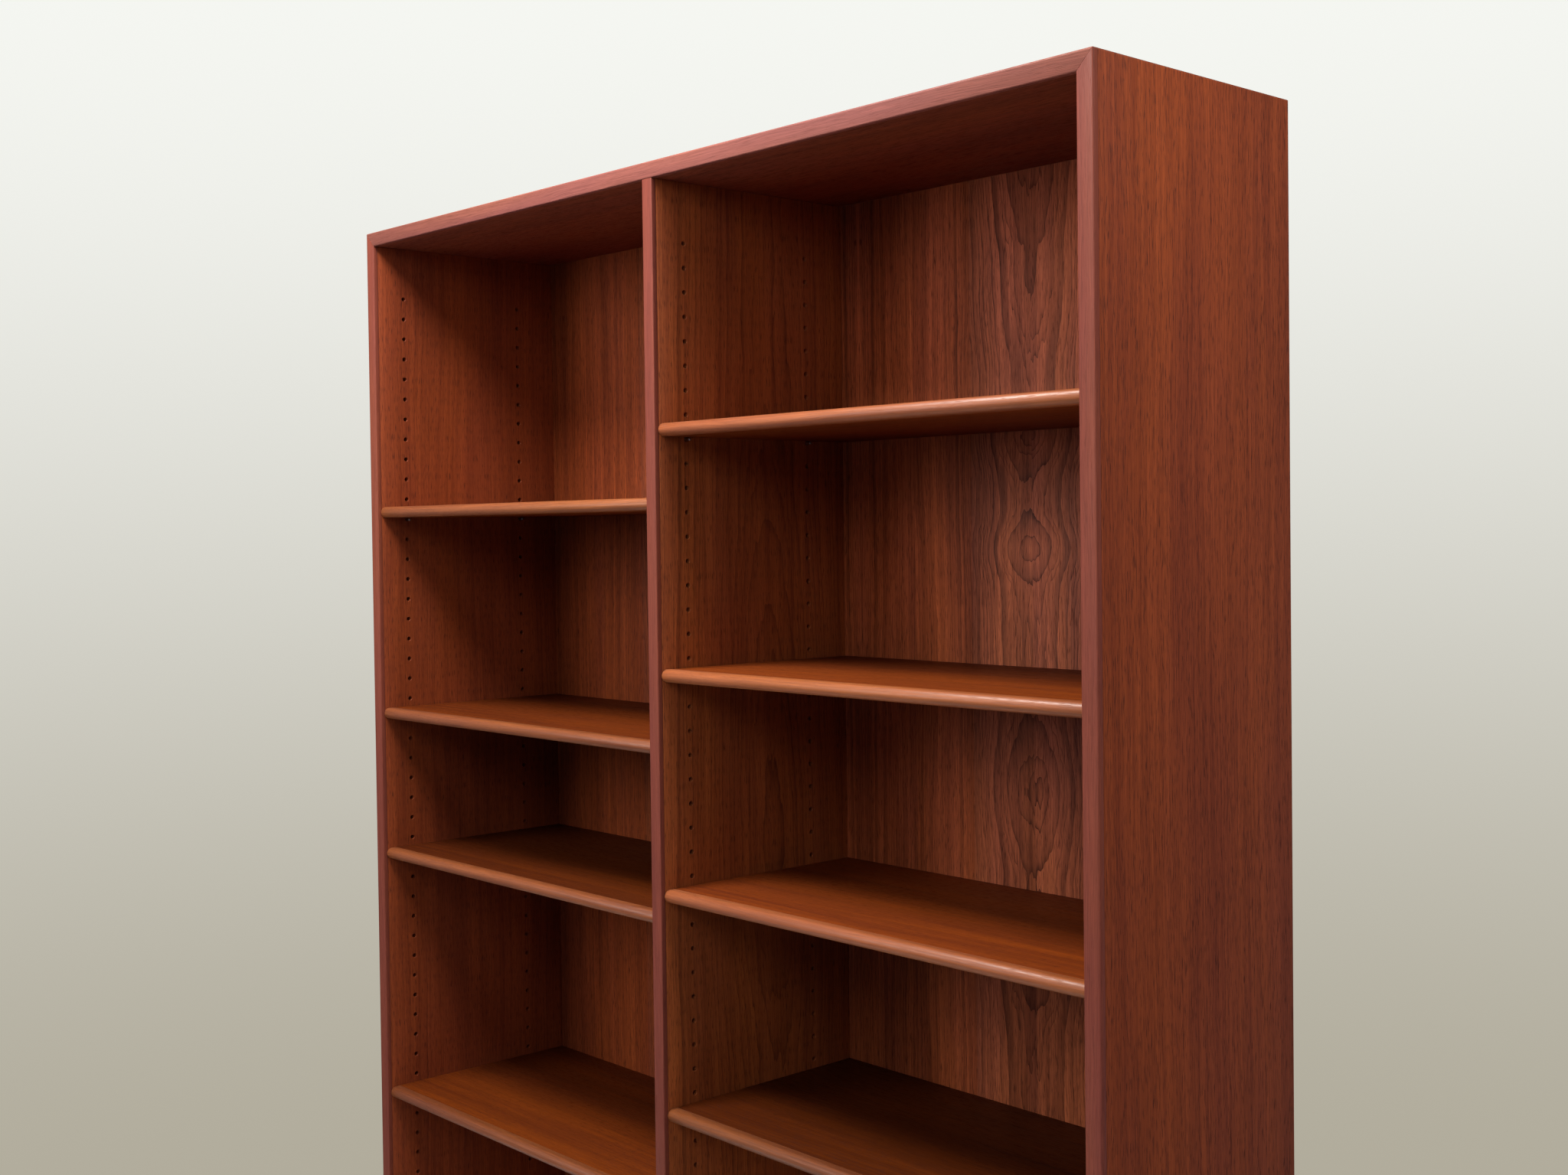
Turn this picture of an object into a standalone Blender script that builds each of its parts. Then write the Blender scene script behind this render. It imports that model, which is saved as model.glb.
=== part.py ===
"""Bookcase with adjustable shelves, Danish mid-century pattern, in teak.

Two open columns of equal width stand either side of a full-height divider. The case corners are
mitred, every case panel carries a solid lipping on its front edge, and the two backs sit in a
rebate. Each inner face has a front and a rear row of blind sockets on one pitch, and every shelf
lies on four plain steel pins pushed into them. Metres, +Z up, the open front faces -Y, and the
origin is on the floor under the middle of the case.
"""

import math

import bmesh
import bpy
from mathutils import Matrix

# Overall case.
CASE_HEIGHT = 1.900
CASE_DEPTH = 0.350
BAY_WIDTH = 0.700
PANEL_THICKNESS = 0.022
DIVIDER_THICKNESS = 0.020
PLINTH_HEIGHT = 0.056
CASE_WIDTH = 2.0 * BAY_WIDTH + DIVIDER_THICKNESS + 2.0 * PANEL_THICKNESS

# Front lipping of the case panels.
LIPPING_DEPTH = 0.007
OUTER_ROUND = 0.003
INNER_ROUND = 0.0015
ROUND_STEPS = 4

# Backs, let into a rebate round the rear of each column.
BACK_THICKNESS = 0.008
BACK_INSET = 0.006
REBATE_WIDTH = 0.007

# Sockets for the shelf pins.
SOCKET_PITCH = 0.032
SOCKET_COUNT = 52
SOCKET_RADIUS = 0.00305
SOCKET_DEPTH = 0.011
SOCKET_SIDES = 8
TOP_SOCKET_DROP = 0.080
FRONT_ROW = 0.052
REAR_ROW = 0.266

# Shelves and the pins that carry them.
SHELF_THICKNESS = 0.017
SHELF_SETBACK = 0.005
SHELF_SIDE_PLAY = 0.001
SHELF_BACK_PLAY = 0.002
NOSE_STEPS = 10
PIN_RADIUS = 0.0025
PIN_IN_SOCKET = 0.009
PIN_PROUD = 0.009
PIN_CHAMFER = 0.0007
PIN_SIDES = 12
LEFT_SOCKETS = (11, 21, 28, 40)
RIGHT_SOCKETS = (8, 18, 27, 36)

# Plinth frame under the case.
PLINTH_BOARD = 0.018
PLINTH_FRONT_SETBACK = 0.040
PLINTH_REAR_SETBACK = 0.012
PLINTH_END_SETBACK = 0.030

# Clearance between pieces that meet, and half of it measured along a mitred piece.
GAP = 0.0003
MITRE_PLAY = GAP / math.sqrt(2.0)

# Levels that follow from the sizes above.
FRONT = -CASE_DEPTH / 2.0
REAR = CASE_DEPTH / 2.0
HALF_WIDTH = CASE_WIDTH / 2.0
CEILING = CASE_HEIGHT - PANEL_THICKNESS
FLOOR = PLINTH_HEIGHT + PANEL_THICKNESS
CORE_FRONT = FRONT + LIPPING_DEPTH + GAP
BACK_FACE = REAR - BACK_INSET - BACK_THICKNESS
REBATE_FRONT = BACK_FACE - GAP
TOP_SOCKET = CEILING - TOP_SOCKET_DROP
HALF_DIVIDER = DIVIDER_THICKNESS / 2.0

BODY_NAME = "bookcase"
CUTTER_NAME = "socket_cutters"


def clear_scene():
    for item in list(bpy.data.objects):
        bpy.data.objects.remove(item, do_unlink=True)


def collection(name):
    group = bpy.data.collections.new(name)
    bpy.context.scene.collection.children.link(group)
    return group


def material(name, colour, roughness, metallic=0.0):
    made = bpy.data.materials.new(name)
    made.use_nodes = True
    shader = made.node_tree.nodes["Principled BSDF"]
    shader.inputs["Base Color"].default_value = (*colour, 1.0)
    shader.inputs["Roughness"].default_value = roughness
    shader.inputs["Metallic"].default_value = metallic
    made.diffuse_color = (*colour, 1.0)
    return made


def teak_veneer(name):
    return material(name, (0.30, 0.105, 0.040), 0.42)


def teak_back_veneer(name):
    return material(name, (0.24, 0.075, 0.026), 0.45)


def teak_shelf(name):
    return material(name, (0.36, 0.140, 0.050), 0.40)


def teak_solid(name):
    return material(name, (0.42, 0.170, 0.095), 0.40)


def plinth_wood(name):
    return material(name, (0.13, 0.045, 0.020), 0.55)


def pin_steel(name):
    return material(name, (0.45, 0.43, 0.41), 0.30, 1.0)


def faced_outwards(work):
    bmesh.ops.recalc_face_normals(work, faces=work.faces)
    if work.calc_volume(signed=True) < 0.0:
        bmesh.ops.reverse_faces(work, faces=work.faces)


def extrusion(name, outline, low, high, place, group):
    """One closed solid: the outline (a, b) drawn out from low(a, b) to high(a, b)."""
    mesh = bpy.data.meshes.new(name)
    work = bmesh.new()
    sketch = [work.verts.new((a, b, 0.0)) for a, b in outline]
    drawn = bmesh.ops.extrude_face_region(work, geom=[work.faces.new(sketch)])
    far = {item for item in drawn["geom"] if isinstance(item, bmesh.types.BMVert)}
    for vertex in work.verts:
        a, b = vertex.co.x, vertex.co.y
        reach = high(a, b) if vertex in far else low(a, b)
        vertex.co = place(a, b, reach)
    faced_outwards(work)
    work.to_mesh(mesh)
    work.free()
    made = bpy.data.objects.new(name, mesh)
    group.objects.link(made)
    return made


def corner(centre_a, centre_b, radius, start, steps):
    """Quarter round about a centre, from the start angle through ninety degrees."""
    points = []
    for i in range(steps + 1):
        angle = start + 0.5 * math.pi * i / steps
        points.append((centre_a + radius * math.cos(angle), centre_b + radius * math.sin(angle)))
    return points


def box(name, low, high, group):
    """Plain board between two corners, with its origin at its own middle."""
    size = [high[i] - low[i] for i in range(3)]
    middle = [(high[i] + low[i]) / 2.0 for i in range(3)]
    bpy.ops.mesh.primitive_cube_add(size=1.0, location=middle)
    made = bpy.context.object
    made.name = name
    made.data.name = name
    for vertex in made.data.vertices:
        vertex.co = [vertex.co[i] * size[i] for i in range(3)]
    for owner in list(made.users_collection):
        owner.objects.unlink(made)
    group.objects.link(made)
    return made


def panel_outline(thickness):
    """Case panel in section: a runs from the outer face inwards, b from front to rear."""
    step = thickness - REBATE_WIDTH
    return [
        (0.0, CORE_FRONT),
        (thickness, CORE_FRONT),
        (thickness, REBATE_FRONT),
        (step, REBATE_FRONT),
        (step, REAR),
        (0.0, REAR),
    ]


def lipping_outline(thickness, first_round, second_round):
    """Lipping in section: two rounded front edges and a flat glued back."""
    back = FRONT + LIPPING_DEPTH
    points = corner(first_round, FRONT + first_round, first_round, math.pi, ROUND_STEPS)
    points += corner(
        thickness - second_round, FRONT + second_round, second_round, 1.5 * math.pi, ROUND_STEPS
    )
    points += [(thickness, back), (0.0, back)]
    return points


def divider_outline():
    """Divider in section, rebated on both sides of its rear edge."""
    web = HALF_DIVIDER - REBATE_WIDTH
    return [
        (-HALF_DIVIDER, CORE_FRONT),
        (HALF_DIVIDER, CORE_FRONT),
        (HALF_DIVIDER, REBATE_FRONT),
        (web, REBATE_FRONT),
        (web, REAR),
        (-web, REAR),
        (-web, REBATE_FRONT),
        (-HALF_DIVIDER, REBATE_FRONT),
    ]


def shelf_outline():
    """Shelf in section (y, z) from its underside: half-round nose, square back."""
    radius = SHELF_THICKNESS / 2.0
    front = FRONT + SHELF_SETBACK
    points = []
    for i in range(NOSE_STEPS + 1):
        angle = 0.5 * math.pi + math.pi * i / NOSE_STEPS
        y = front + radius + radius * math.cos(angle)
        points.append((y, radius + radius * math.sin(angle)))
    back = BACK_FACE - SHELF_BACK_PLAY
    return points + [(back, 0.0), (back, SHELF_THICKNESS)]


def mitre_bottom(a, b):
    return PLINTH_HEIGHT + a + MITRE_PLAY


def mitre_top(a, b):
    return CASE_HEIGHT - a - MITRE_PLAY


def mitre_left(a, b):
    return -HALF_WIDTH + a + MITRE_PLAY


def mitre_right(a, b):
    return HALF_WIDTH - a - MITRE_PLAY


def left_side_place(a, b, c):
    return (-HALF_WIDTH + a, b, c)


def right_side_place(a, b, c):
    return (HALF_WIDTH - a, b, c)


def top_place(a, b, c):
    return (c, b, CASE_HEIGHT - a)


def bottom_place(a, b, c):
    return (c, b, PLINTH_HEIGHT + a)


def upright_place(a, b, c):
    return (a, b, c)


def socket_cutter(name, start_x, length, group):
    """One drill repeated up the socket pitch and again at the rear row."""
    bpy.ops.mesh.primitive_cylinder_add(
        vertices=SOCKET_SIDES,
        radius=SOCKET_RADIUS,
        depth=length,
        rotation=(0.0, 0.5 * math.pi, 0.0),
    )
    drill = bpy.context.object
    drill.name = name
    drill.data.name = name
    bpy.ops.object.transform_apply(location=False, rotation=True, scale=False)
    last_socket = TOP_SOCKET - (SOCKET_COUNT - 1) * SOCKET_PITCH
    drill.location = (start_x + length / 2.0, FRONT + FRONT_ROW, last_socket)
    column = drill.modifiers.new("socket_pitch", "ARRAY")
    column.count = SOCKET_COUNT
    column.use_relative_offset = False
    column.use_constant_offset = True
    column.constant_offset_displace = (0.0, 0.0, SOCKET_PITCH)
    rows = drill.modifiers.new("front_and_rear_row", "ARRAY")
    rows.count = 2
    rows.use_relative_offset = False
    rows.use_constant_offset = True
    rows.constant_offset_displace = (0.0, REAR_ROW - FRONT_ROW, 0.0)
    drill.hide_render = True
    drill.display_type = "WIRE"
    for owner in list(drill.users_collection):
        owner.objects.unlink(drill)
    group.objects.link(drill)
    return drill


def drilled(panel, cutter):
    bore = panel.modifiers.new("pin_sockets", "BOOLEAN")
    bore.operation = "DIFFERENCE"
    bore.solver = "EXACT"
    bore.object = cutter
    return panel


def painted(made, finish):
    made.data.materials.append(finish)
    return made


def rounded(made):
    for polygon in made.data.polygons:
        polygon.use_smooth = len(polygon.vertices) == 4
    made.data.set_sharp_from_angle(angle=math.radians(35.0))
    return made


def left_side(group, cutters):
    made = extrusion(
        "side_left", panel_outline(PANEL_THICKNESS), mitre_bottom, mitre_top, left_side_place, group
    )
    inner_face = -HALF_WIDTH + PANEL_THICKNESS
    length = 2.0 * SOCKET_DEPTH
    cutter = socket_cutter("sockets_side_left", inner_face - SOCKET_DEPTH, length, cutters)
    return painted(drilled(made, cutter), teak_veneer("teak_side_left"))


def right_side(group, cutters):
    made = extrusion(
        "side_right", panel_outline(PANEL_THICKNESS), mitre_bottom, mitre_top, right_side_place, group
    )
    inner_face = HALF_WIDTH - PANEL_THICKNESS
    length = 2.0 * SOCKET_DEPTH
    cutter = socket_cutter("sockets_side_right", inner_face - SOCKET_DEPTH, length, cutters)
    return painted(drilled(made, cutter), teak_veneer("teak_side_right"))


def divider(group, cutters):
    made = extrusion(
        "divider",
        divider_outline(),
        lambda a, b: FLOOR + GAP,
        lambda a, b: CEILING - GAP,
        upright_place,
        group,
    )
    length = 2.0 * DIVIDER_THICKNESS
    cutter = socket_cutter("sockets_divider", -length / 2.0, length, cutters)
    return painted(drilled(made, cutter), teak_veneer("teak_divider"))


def top_panel(group):
    made = extrusion(
        "top_panel", panel_outline(PANEL_THICKNESS), mitre_left, mitre_right, top_place, group
    )
    return painted(made, teak_veneer("teak_top"))


def bottom_panel(group):
    made = extrusion(
        "bottom_panel", panel_outline(PANEL_THICKNESS), mitre_left, mitre_right, bottom_place, group
    )
    return painted(made, teak_veneer("teak_bottom"))


def case_lippings(group):
    section = lipping_outline(PANEL_THICKNESS, OUTER_ROUND, INNER_ROUND)
    runs = (
        ("lipping_side_left", mitre_bottom, mitre_top, left_side_place),
        ("lipping_side_right", mitre_bottom, mitre_top, right_side_place),
        ("lipping_top", mitre_left, mitre_right, top_place),
        ("lipping_bottom", mitre_left, mitre_right, bottom_place),
    )
    for name, low, high, place in runs:
        made = extrusion(name, section, low, high, place, group)
        painted(rounded(made), teak_solid(name.replace("lipping", "solid_teak")))


def divider_lipping(group):
    section = lipping_outline(DIVIDER_THICKNESS, INNER_ROUND, INNER_ROUND)
    centred = [(a - HALF_DIVIDER, b) for a, b in section]
    made = extrusion(
        "lipping_divider",
        centred,
        lambda a, b: FLOOR + GAP,
        lambda a, b: CEILING - GAP,
        upright_place,
        group,
    )
    return painted(rounded(made), teak_solid("solid_teak_divider"))


def back_panel(name, left_edge, right_edge, group):
    low = (left_edge, BACK_FACE, FLOOR - REBATE_WIDTH + GAP)
    high = (right_edge, BACK_FACE + BACK_THICKNESS, CEILING + REBATE_WIDTH - GAP)
    made = box(name, low, high, group)
    return painted(made, teak_back_veneer(name.replace("back", "teak_back")))


def backs(group):
    outer = HALF_WIDTH - PANEL_THICKNESS + REBATE_WIDTH - GAP
    inner = HALF_DIVIDER - REBATE_WIDTH + GAP
    back_panel("back_left", -outer, -inner, group)
    back_panel("back_right", inner, outer, group)


def plinth(group):
    end = HALF_WIDTH - PLINTH_END_SETBACK
    front = FRONT + PLINTH_FRONT_SETBACK
    rear = REAR - PLINTH_REAR_SETBACK
    crown = PLINTH_HEIGHT - GAP
    long_front = box("plinth_front", (-end, front, 0.0), (end, front + PLINTH_BOARD, crown), group)
    painted(long_front, plinth_wood("plinth_wood_front"))
    long_rear = box("plinth_rear", (-end, rear - PLINTH_BOARD, 0.0), (end, rear, crown), group)
    painted(long_rear, plinth_wood("plinth_wood_rear"))
    inside_front = front + PLINTH_BOARD + GAP
    inside_rear = rear - PLINTH_BOARD - GAP
    inside = end - PLINTH_BOARD
    left = box("plinth_left", (-end, inside_front, 0.0), (-inside, inside_rear, crown), group)
    painted(left, plinth_wood("plinth_wood_left"))
    right = box("plinth_right", (inside, inside_front, 0.0), (end, inside_rear, crown), group)
    painted(right, plinth_wood("plinth_wood_right"))


def socket_height(index):
    return TOP_SOCKET - index * SOCKET_PITCH


def shelf(name, left_face, index, group):
    half = BAY_WIDTH / 2.0 - SHELF_SIDE_PLAY
    made = extrusion(
        name,
        shelf_outline(),
        lambda a, b: -half,
        lambda a, b: half,
        lambda a, b, c: (c, a, b),
        group,
    )
    underside = socket_height(index) + PIN_RADIUS + GAP
    made.location = (left_face + BAY_WIDTH / 2.0, 0.0, underside)
    return painted(rounded(made), teak_shelf("teak_" + name))


def pin(name, face_x, into_bay, row, index, group):
    """Plain rod with a chamfered nose, its origin in the socket mouth on its own axis."""
    length = PIN_IN_SOCKET + PIN_PROUD
    mesh = bpy.data.meshes.new(name)
    work = bmesh.new()
    bmesh.ops.create_cone(
        work,
        cap_ends=True,
        segments=PIN_SIDES,
        radius1=PIN_RADIUS,
        radius2=PIN_RADIUS,
        depth=length,
    )
    nose = [edge for edge in work.edges if all(vertex.co.z > 0.0 for vertex in edge.verts)]
    bmesh.ops.bevel(work, geom=nose, offset=PIN_CHAMFER, segments=1, affect="EDGES")
    slid = Matrix.Translation((0.0, 0.0, length / 2.0 - PIN_IN_SOCKET))
    turned = Matrix.Rotation(into_bay * 0.5 * math.pi, 4, "Y")
    bmesh.ops.transform(work, matrix=turned @ slid, verts=work.verts)
    faced_outwards(work)
    work.to_mesh(mesh)
    work.free()
    made = bpy.data.objects.new(name, mesh)
    made.location = (face_x, FRONT + row, socket_height(index))
    group.objects.link(made)
    return painted(rounded(made), pin_steel("steel_" + name))


def column(side_name, left_face, sockets, group):
    right_face = left_face + BAY_WIDTH
    for order, index in enumerate(sockets, start=1):
        shelf(f"shelf_{side_name}_{order}", left_face, index, group)
        for end_name, face_x, into_bay in (("l", left_face, 1.0), ("r", right_face, -1.0)):
            for row_name, row in (("front", FRONT_ROW), ("rear", REAR_ROW)):
                name = f"pin_{side_name}_{order}_{end_name}_{row_name}"
                pin(name, face_x, into_bay, row, index, group)


def build():
    clear_scene()
    body = collection(BODY_NAME)
    cutters = collection(CUTTER_NAME)
    left_side(body, cutters)
    right_side(body, cutters)
    top_panel(body)
    bottom_panel(body)
    divider(body, cutters)
    case_lippings(body)
    divider_lipping(body)
    backs(body)
    plinth(body)
    column("left", -HALF_WIDTH + PANEL_THICKNESS, LEFT_SOCKETS, body)
    column("right", HALF_DIVIDER, RIGHT_SOCKETS, body)


build()
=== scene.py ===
"""Looks of the teak bookcase with adjustable shelves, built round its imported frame."""

import math

import bmesh
import bpy
from mathutils import Matrix, Vector


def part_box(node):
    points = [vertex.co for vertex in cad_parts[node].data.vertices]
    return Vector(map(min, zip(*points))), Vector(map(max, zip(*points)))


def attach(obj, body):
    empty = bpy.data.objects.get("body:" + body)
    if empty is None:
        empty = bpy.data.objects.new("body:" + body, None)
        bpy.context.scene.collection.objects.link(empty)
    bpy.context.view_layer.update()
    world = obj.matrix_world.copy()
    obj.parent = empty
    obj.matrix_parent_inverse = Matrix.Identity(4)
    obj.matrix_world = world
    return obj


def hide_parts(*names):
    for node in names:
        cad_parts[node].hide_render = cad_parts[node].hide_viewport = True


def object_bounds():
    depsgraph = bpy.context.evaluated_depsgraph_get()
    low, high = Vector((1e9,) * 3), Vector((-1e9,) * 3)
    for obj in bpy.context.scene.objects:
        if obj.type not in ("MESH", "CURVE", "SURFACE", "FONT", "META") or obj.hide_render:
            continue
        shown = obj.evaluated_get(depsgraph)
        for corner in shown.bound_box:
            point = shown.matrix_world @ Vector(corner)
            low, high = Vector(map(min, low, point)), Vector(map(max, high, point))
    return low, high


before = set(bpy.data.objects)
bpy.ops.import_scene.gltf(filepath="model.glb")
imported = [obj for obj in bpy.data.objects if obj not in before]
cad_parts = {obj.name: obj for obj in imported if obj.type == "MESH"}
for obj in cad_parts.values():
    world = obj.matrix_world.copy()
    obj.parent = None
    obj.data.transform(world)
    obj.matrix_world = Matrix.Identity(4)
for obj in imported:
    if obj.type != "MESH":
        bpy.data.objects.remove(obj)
cad_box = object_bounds()

# ---------------------------------------------------------------------------------------------
# The two sides.
# Veneered boards, mitred to the top and the bottom and rebated at the rear for the backs. Two rows
# of sockets for the shelf pins are bored into each inner face before the case is glued up.

CASE_HIGH = cad_box[1][2]
CASE_HALF = cad_box[1][0]
CASE_FRONT = cad_box[0][1]
CASE_REAR = cad_box[1][1]
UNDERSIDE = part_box("bottom_panel")[0][2]
SIDE_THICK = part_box("side_left")[1][0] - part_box("side_left")[0][0]
JOINT_GAP = 0.0003
REBATE_WIDE = 0.007
REBATE_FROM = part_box("back_left")[0][1] - JOINT_GAP
BOARD_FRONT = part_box("side_left")[0][1]
MITRE_GAP = JOINT_GAP / math.sqrt(2.0)
CORNER_ROUND = 0.003
CORNER_STEPS = 5
REAR_ROUND = 0.0022
REAR_STEPS = 4
ARRIS = 0.0004
ARRIS_FROM = math.radians(40.0)
SMOOTH_BELOW = math.radians(32.0)
FLAT_WITHIN = math.radians(0.5)
SAME_SPOT = 1e-6
HAIR = 1e-7
SOCKET_WIDE = 0.0064
SOCKET_DEEP = 0.011
SOCKET_PITCH = 0.032
SOCKET_COUNT = 52
SOCKET_SIDES = 20
SOCKET_FLARE = 0.0009
TOP_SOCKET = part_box("top_panel")[0][2] - 0.080
LOW_SOCKET = TOP_SOCKET - (SOCKET_COUNT - 1) * SOCKET_PITCH
ROW_FRONT = CASE_FRONT + 0.052
ROW_REAR = CASE_FRONT + 0.266
SIDE_PALE = (0.318, 0.066, 0.017)
SIDE_DARK = (0.146, 0.027, 0.009)
TEAK_LINE = (0.022, 0.006, 0.005)
RAW_PALE = (0.90, 0.74, 0.50)
RAW_DARK = (0.70, 0.50, 0.30)
ROSY_CAST = (0.86, 0.84, 1.25)
OUTER_LEAF_CAST = (1.0, 0.86, 0.66)
LEAF_STEP = 0.37
PITH_RANGE = 0.12

# Marks of the grain: how fine they are, how much slower they change along it, and their detail.
BENDS = (5.0, 0.22, 2.0)
RIPPLES = (50.0, 0.22, 2.0)
JAGS = (75.0, 0.16, 2.0)
PATCHES = (16.0, 0.20, 2.0)
STREAKS = (90.0, 0.020, 3.0)
THREADS = (420.0, 0.012, 2.0)
BROAD_BANDS = (10.0, 0.10, 2.0)
ROSY_CLOUDS = (13.0, 0.16, 3.0)
FIBRES = (1700.0, 0.012, 1.0)
PORES = (1300.0, 0.050, 1.0)
BEND_REACH = 0.040
RIPPLE_REACH = 0.0060
JAG_REACH = 0.008
RING_UNEVEN = 2.6
RING_SCALE = 55.0
RING_EDGE = 7.0

# The part of each mark that is drawn out to its whole range, then how strongly each mark shows.
PATCH_SPREAD = (0.30, 0.70)
STREAK_SPREAD = (0.28, 0.72)
THREAD_SPREAD = (0.30, 0.70)
BROAD_SPREAD = (0.30, 0.72)
ROSY_SPREAD = (0.34, 0.70)
PORE_SPREAD = (0.55, 0.68)
STREAK_SHARE = 0.30
BROAD_SHARE = 0.34
THREAD_SHARE = 0.20
RING_SHARE = 0.16
ROSY_SHARE = 0.55
LEAST_PATCH = 0.55
OUTER_LEAF_SHARE = 0.8
OUTER_LINES_LOST = 0.6
FIBRE_SHADE = 0.80
DARKEST_FIBRE = 0.62
PORE_DULL = 0.20
FIBRE_DULL = 0.08
FIBRE_RELIEF = 0.35


def add(tree, kind, feeds=None, **settings):
    """A node of the tree, with its settings, and a value or a link on each fed socket."""
    node = tree.nodes.new(kind)
    for key, value in settings.items():
        setattr(node, key, value)
    for key, value in (feeds or {}).items():
        if isinstance(value, bpy.types.NodeSocket):
            tree.links.new(value, node.inputs[key])
        else:
            node.inputs[key].default_value = value
    return node


def work_out(tree, operation, first, second=0.0):
    return add(tree, "ShaderNodeMath", {0: first, 1: second}, operation=operation).outputs[0]


def plus(tree, first, second):
    return work_out(tree, "ADD", first, second)


def minus(tree, first, second):
    return work_out(tree, "SUBTRACT", first, second)


def times(tree, first, second):
    return work_out(tree, "MULTIPLY", first, second)


def blended(tree, amount, first, second, mode="MIX"):
    node = add(tree, "ShaderNodeMix", data_type="RGBA", blend_type=mode)
    for key, value in ((0, amount), (6, first), (7, second)):
        if isinstance(value, bpy.types.NodeSocket):
            tree.links.new(value, node.inputs[key])
        elif key == 0:
            node.inputs[key].default_value = value
        else:
            node.inputs[key].default_value = (*value, 1.0)
    return node.outputs[2]


def stretch_noise(tree, cross, depth, run, mark, seed):
    """Noise drawn out along the grain. A mark is its scale, its slowness that way and its detail."""
    scale, along, detail = mark
    slow = times(tree, run, along)
    where = add(tree, "ShaderNodeCombineXYZ", {0: plus(tree, cross, seed), 1: depth, 2: slow}).outputs[0]
    noise = add(tree, "ShaderNodeTexNoise", {"Vector": where, "Scale": scale, "Detail": detail})
    return noise.outputs["Fac"]


def spread(tree, value, low, high):
    """Draws the part of value between low and high out to the whole range, without a sharp edge."""
    node = add(
        tree,
        "ShaderNodeMapRange",
        {"Value": value, "From Min": low, "From Max": high},
        interpolation_type="SMOOTHSTEP",
    )
    return node.outputs["Result"]


def swing(tree, noise, reach):
    """Noise turned into a shift to both sides, reach wide in all."""
    return times(tree, minus(tree, noise, 0.5), reach)


def mirrored_leaves(tree, over, deep, leaf):
    """Folds the crosswise coordinate about the leaf joints and gives each pair its own depth."""
    middle, wide = leaf
    offset = minus(tree, over, middle)
    number = work_out(tree, "FLOOR", work_out(tree, "DIVIDE", offset, 2.0 * wide))
    folded = work_out(tree, "PINGPONG", offset, wide)
    deeper = plus(tree, deep, times(tree, number, LEAF_STEP))
    outside = work_out(tree, "GREATER_THAN", work_out(tree, "ABSOLUTE", offset), wide)
    return folded, deeper, outside


def pith_distance(tree, over, wavy, deep, length, figure, seed):
    """How far each point lies from the pith, whose depth below the face follows a profile."""
    middle, profile = figure
    ramp = add(tree, "ShaderNodeValToRGB", {0: work_out(tree, "DIVIDE", length, CASE_HIGH)})
    ramp.color_ramp.interpolation = "CARDINAL"
    stops = ramp.color_ramp.elements
    while len(stops) < len(profile):
        stops.new(0.5)
    for stop, (level, _) in zip(list(stops), profile):
        stop.position = level / CASE_HIGH
    for stop, (_, depth) in zip(stops, profile):
        grey = depth / PITH_RANGE
        stop.color = (grey, grey, grey, 1.0)
    jag = swing(tree, stretch_noise(tree, over, deep, length, JAGS, seed + 3.0), JAG_REACH)
    below = plus(tree, times(tree, ramp.outputs[0], PITH_RANGE), jag)
    beside = minus(tree, wavy, middle)
    squares = [times(tree, value, value) for value in (beside, below)]
    return work_out(tree, "SQRT", plus(tree, *squares))


def bare_finish(name):
    """A new material, its tree, its shader and the place on the object that a point has."""
    made = bpy.data.materials.new(name)
    made.use_nodes = True
    tree = made.node_tree
    place = add(tree, "ShaderNodeTexCoord").outputs["Object"]
    return made, tree, tree.nodes["Principled BSDF"], place


def roughened(tree, shader, relief, strength, height):
    """Lays a fine relief on the surface."""
    bump = add(tree, "ShaderNodeBump", {"Strength": strength, "Distance": height, "Height": relief})
    tree.links.new(bump.outputs[0], shader.inputs["Normal"])


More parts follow.
